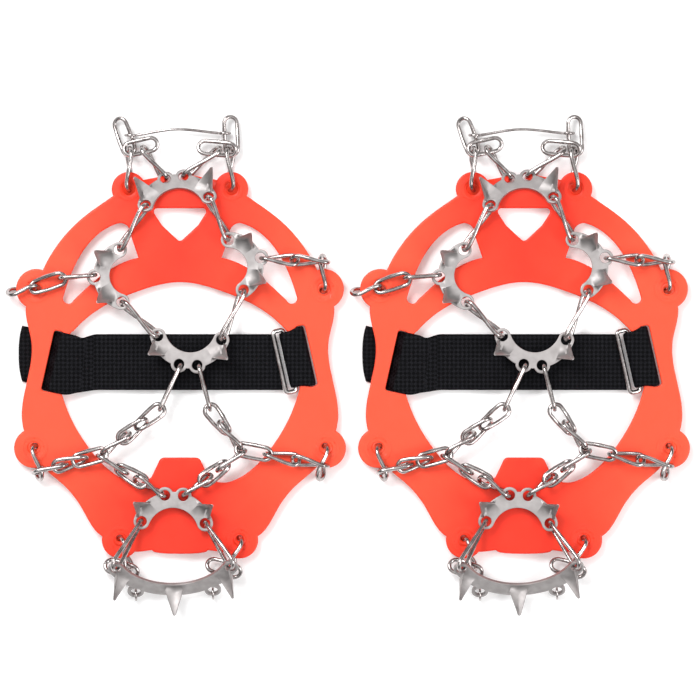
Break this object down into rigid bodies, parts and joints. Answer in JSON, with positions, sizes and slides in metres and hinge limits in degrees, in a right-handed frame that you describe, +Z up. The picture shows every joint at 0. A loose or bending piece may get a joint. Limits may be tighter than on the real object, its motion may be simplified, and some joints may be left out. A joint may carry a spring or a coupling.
{
  "type": "shoe ice cleats",
  "caption": "Pair of stretch-on ice cleats: elastomer harness with eyelet lugs, loose link chain, toothed steel spike plates, webbing arch strap with buckle ring.",
  "frame": {"origin": "on the ground under the middle of the pair's box", "axes": "+X to the right across the pair, +Y towards the toes, +Z up, sole side up"},
  "size_m": [0.3056, 0.2236, 0.0226],
  "materials": {
    "harness_rubber": "satin moulded elastomer, slightly translucent",
    "plate_steel": "stamped and tumbled stainless steel",
    "chain_steel": "polished stainless welded link chain",
    "wire_steel": "drawn steel wire",
    "webbing": "ribbed black polyester webbing",
    "hook_and_loop": "black hook and loop tape"
  },
  "bodies": {
    "left_cleat": {"left_harness": "harness_rubber", "left_strap": "webbing", "left_strap_patches": "hook_and_loop", "left_keeper_loop": "webbing", "left_rear_link_left": "chain_steel", "left_rear_link_right": "chain_steel", "left_rear_lug_chains": "chain_steel", "left_toe_chain_left": "chain_steel", "left_toe_chain_right": "chain_steel", "left_ball_chain_left": "chain_steel", "left_ball_chain_right": "chain_steel", "left_arch_chain_left": "chain_steel", "left_arch_chain_right": "chain_steel", "left_side_chain_left": "chain_steel", "left_side_chain_right": "chain_steel", "left_heel_chain_left": "chain_steel", "left_heel_chain_right": "chain_steel"},
    "left_toe_plate": {"left_toe_plate": "plate_steel"},
    "left_ball_plate_left": {"left_ball_plate_left": "plate_steel"},
    "left_ball_plate_right": {"left_ball_plate_right": "plate_steel"},
    "left_arch_plate": {"left_arch_plate": "plate_steel"},
    "left_heel_plate": {"left_heel_plate": "plate_steel"},
    "left_rear_heel_plate": {"left_rear_heel_plate": "plate_steel", "left_lobe_rings": "wire_steel"},
    "left_front_link_left": {"left_front_link_left": "chain_steel"},
    "left_front_link_right": {"left_front_link_right": "chain_steel"},
    "left_mid_link_left": {"left_mid_link_left": "chain_steel"},
    "left_mid_link_right": {"left_mid_link_right": "chain_steel"},
    "left_toe_bail": {"left_toe_bail": "wire_steel"},
    "left_buckle_ring": {"left_buckle_ring": "wire_steel"},
    "right_cleat": {"right_harness": "harness_rubber", "right_strap": "webbing", "right_strap_patches": "hook_and_loop", "right_keeper_loop": "webbing", "right_rear_link_left": "chain_steel", "right_rear_link_right": "chain_steel", "right_rear_lug_chains": "chain_steel", "right_toe_chain_left": "chain_steel", "right_toe_chain_right": "chain_steel", "right_ball_chain_left": "chain_steel", "right_ball_chain_right": "chain_steel", "right_arch_chain_left": "chain_steel", "right_arch_chain_right": "chain_steel", "right_side_chain_left": "chain_steel", "right_side_chain_right": "chain_steel", "right_heel_chain_left": "chain_steel", "right_heel_chain_right": "chain_steel"},
    "right_toe_plate": {"right_toe_plate": "plate_steel"},
    "right_ball_plate_left": {"right_ball_plate_left": "plate_steel"},
    "right_ball_plate_right": {"right_ball_plate_right": "plate_steel"},
    "right_arch_plate": {"right_arch_plate": "plate_steel"},
    "right_heel_plate": {"right_heel_plate": "plate_steel"},
    "right_rear_heel_plate": {"right_rear_heel_plate": "plate_steel", "right_lobe_rings": "wire_steel"},
    "right_front_link_left": {"right_front_link_left": "chain_steel"},
    "right_front_link_right": {"right_front_link_right": "chain_steel"},
    "right_mid_link_left": {"right_mid_link_left": "chain_steel"},
    "right_mid_link_right": {"right_mid_link_right": "chain_steel"},
    "right_toe_bail": {"right_toe_bail": "wire_steel"},
    "right_buckle_ring": {"right_buckle_ring": "wire_steel"}
  },
  "joints": [
    {"name": "pair_separation", "type": "slide", "parent": "left_cleat", "child": "right_cleat", "axis": [1, 0, 0], "range_m": [0, 0.1]},
    {"name": "left_toe_bail_lift", "type": "hinge", "parent": "left_cleat", "child": "left_toe_bail", "pos_m": [-0.09679, 0.10255, 0.0035], "axis": [0.9998, 0.0216, 0], "range_deg": [0, 35]},
    {"name": "left_buckle_ring_lift", "type": "hinge", "parent": "left_cleat", "child": "left_buckle_ring", "pos_m": [-0.02582, 0.00212, 0.0037], "axis": [-0.2181, 0.9759, 0], "range_deg": [0, 50]},
    {"name": "left_toe_plate_rock", "type": "hinge", "parent": "left_cleat", "child": "left_toe_plate", "pos_m": [-0.07599, 0.0731, 0.0106], "axis": [0.9918, 0.1276, 0], "range_deg": [0, 4]},
    {"name": "left_ball_plate_left_rock", "type": "hinge", "parent": "left_cleat", "child": "left_ball_plate_left", "pos_m": [-0.10134, 0.03965, 0.0094], "axis": [-0.0474, 0.9989, 0], "range_deg": [-4, 4]},
    {"name": "left_ball_plate_right_rock", "type": "hinge", "parent": "left_cleat", "child": "left_ball_plate_right", "pos_m": [-0.04969, 0.0446, 0.0094], "axis": [0.2838, -0.9589, 0], "range_deg": [-2.5, 2.5]},
    {"name": "left_arch_plate_rock", "type": "hinge", "parent": "left_cleat", "child": "left_arch_plate", "pos_m": [-0.07044, 0.012, 0.0094], "axis": [-0.9982, 0.0595, 0], "range_deg": [-4, 4]},
    {"name": "left_heel_plate_rock", "type": "hinge", "parent": "left_cleat", "child": "left_heel_plate", "pos_m": [-0.07774, -0.0701, 0.0094], "axis": [0.9995, -0.032, 0], "range_deg": [-4, 4]},
    {"name": "left_rear_heel_plate_rock", "type": "hinge", "parent": "left_cleat", "child": "left_rear_heel_plate", "pos_m": [-0.07759, -0.0901, 0.017], "axis": [-0.9998, -0.0177, 0], "range_deg": [-3, 3]},
    {"name": "left_front_link_left_twist", "type": "hinge", "parent": "left_cleat", "child": "left_front_link_left", "pos_m": [-0.09574, 0.0613, 0.0105], "axis": [-0.5197, -0.8493, -0.093], "range_deg": [-12, 12]},
    {"name": "left_front_link_right_twist", "type": "hinge", "parent": "left_cleat", "child": "left_front_link_right", "pos_m": [-0.05769, 0.0653, 0.0105], "axis": [0.4392, -0.8925, -0.1028], "range_deg": [-12, 12]},
    {"name": "left_mid_link_left_twist", "type": "hinge", "parent": "left_cleat", "child": "left_mid_link_left", "pos_m": [-0.09274, 0.02045, 0.0094], "axis": [0.7271, -0.6865, 0], "range_deg": [-12, 12]},
    {"name": "left_mid_link_right_twist", "type": "hinge", "parent": "left_cleat", "child": "left_mid_link_right", "pos_m": [-0.05129, 0.0223, 0.0094], "axis": [-0.4023, -0.9155, 0], "range_deg": [-12, 12]},
    {"name": "right_toe_bail_lift", "type": "hinge", "parent": "right_cleat", "child": "right_toe_bail", "pos_m": [0.05681, 0.10255, 0.0035], "axis": [0.9998, 0.0216, 0], "range_deg": [0, 35]},
    {"name": "right_buckle_ring_lift", "type": "hinge", "parent": "right_cleat", "child": "right_buckle_ring", "pos_m": [0.12778, 0.00212, 0.0037], "axis": [-0.2181, 0.9759, 0], "range_deg": [0, 50]},
    {"name": "right_toe_plate_rock", "type": "hinge", "parent": "right_cleat", "child": "right_toe_plate", "pos_m": [0.07761, 0.0731, 0.0106], "axis": [0.9918, 0.1276, 0], "range_deg": [0, 4]},
    {"name": "right_ball_plate_left_rock", "type": "hinge", "parent": "right_cleat", "child": "right_ball_plate_left", "pos_m": [0.05226, 0.03965, 0.0094], "axis": [-0.0474, 0.9989, 0], "range_deg": [-4, 4]},
    {"name": "right_ball_plate_right_rock", "type": "hinge", "parent": "right_cleat", "child": "right_ball_plate_right", "pos_m": [0.10391, 0.0446, 0.0094], "axis": [0.2838, -0.9589, 0], "range_deg": [-2.5, 2.5]},
    {"name": "right_arch_plate_rock", "type": "hinge", "parent": "right_cleat", "child": "right_arch_plate", "pos_m": [0.08316, 0.012, 0.0094], "axis": [-0.9982, 0.0595, 0], "range_deg": [-4, 4]},
    {"name": "right_heel_plate_rock", "type": "hinge", "parent": "right_cleat", "child": "right_heel_plate", "pos_m": [0.07586, -0.0701, 0.0094], "axis": [0.9995, -0.032, 0], "range_deg": [-4, 4]},
    {"name": "right_rear_heel_plate_rock", "type": "hinge", "parent": "right_cleat", "child": "right_rear_heel_plate", "pos_m": [0.07601, -0.0901, 0.017], "axis": [-0.9998, -0.0177, 0], "range_deg": [-3, 3]},
    {"name": "right_front_link_left_twist", "type": "hinge", "parent": "right_cleat", "child": "right_front_link_left", "pos_m": [0.05786, 0.0613, 0.0105], "axis": [-0.5197, -0.8493, -0.093], "range_deg": [-12, 12]},
    {"name": "right_front_link_right_twist", "type": "hinge", "parent": "right_cleat", "child": "right_front_link_right", "pos_m": [0.09591, 0.0653, 0.0105], "axis": [0.4392, -0.8925, -0.1028], "range_deg": [-12, 12]},
    {"name": "right_mid_link_left_twist", "type": "hinge", "parent": "right_cleat", "child": "right_mid_link_left", "pos_m": [0.06086, 0.02045, 0.0094], "axis": [0.7271, -0.6865, 0], "range_deg": [-12, 12]},
    {"name": "right_mid_link_right_twist", "type": "hinge", "parent": "right_cleat", "child": "right_mid_link_right", "pos_m": [0.10231, 0.0223, 0.0094], "axis": [-0.4023, -0.9155, 0], "range_deg": [-12, 12]}
  ]
}
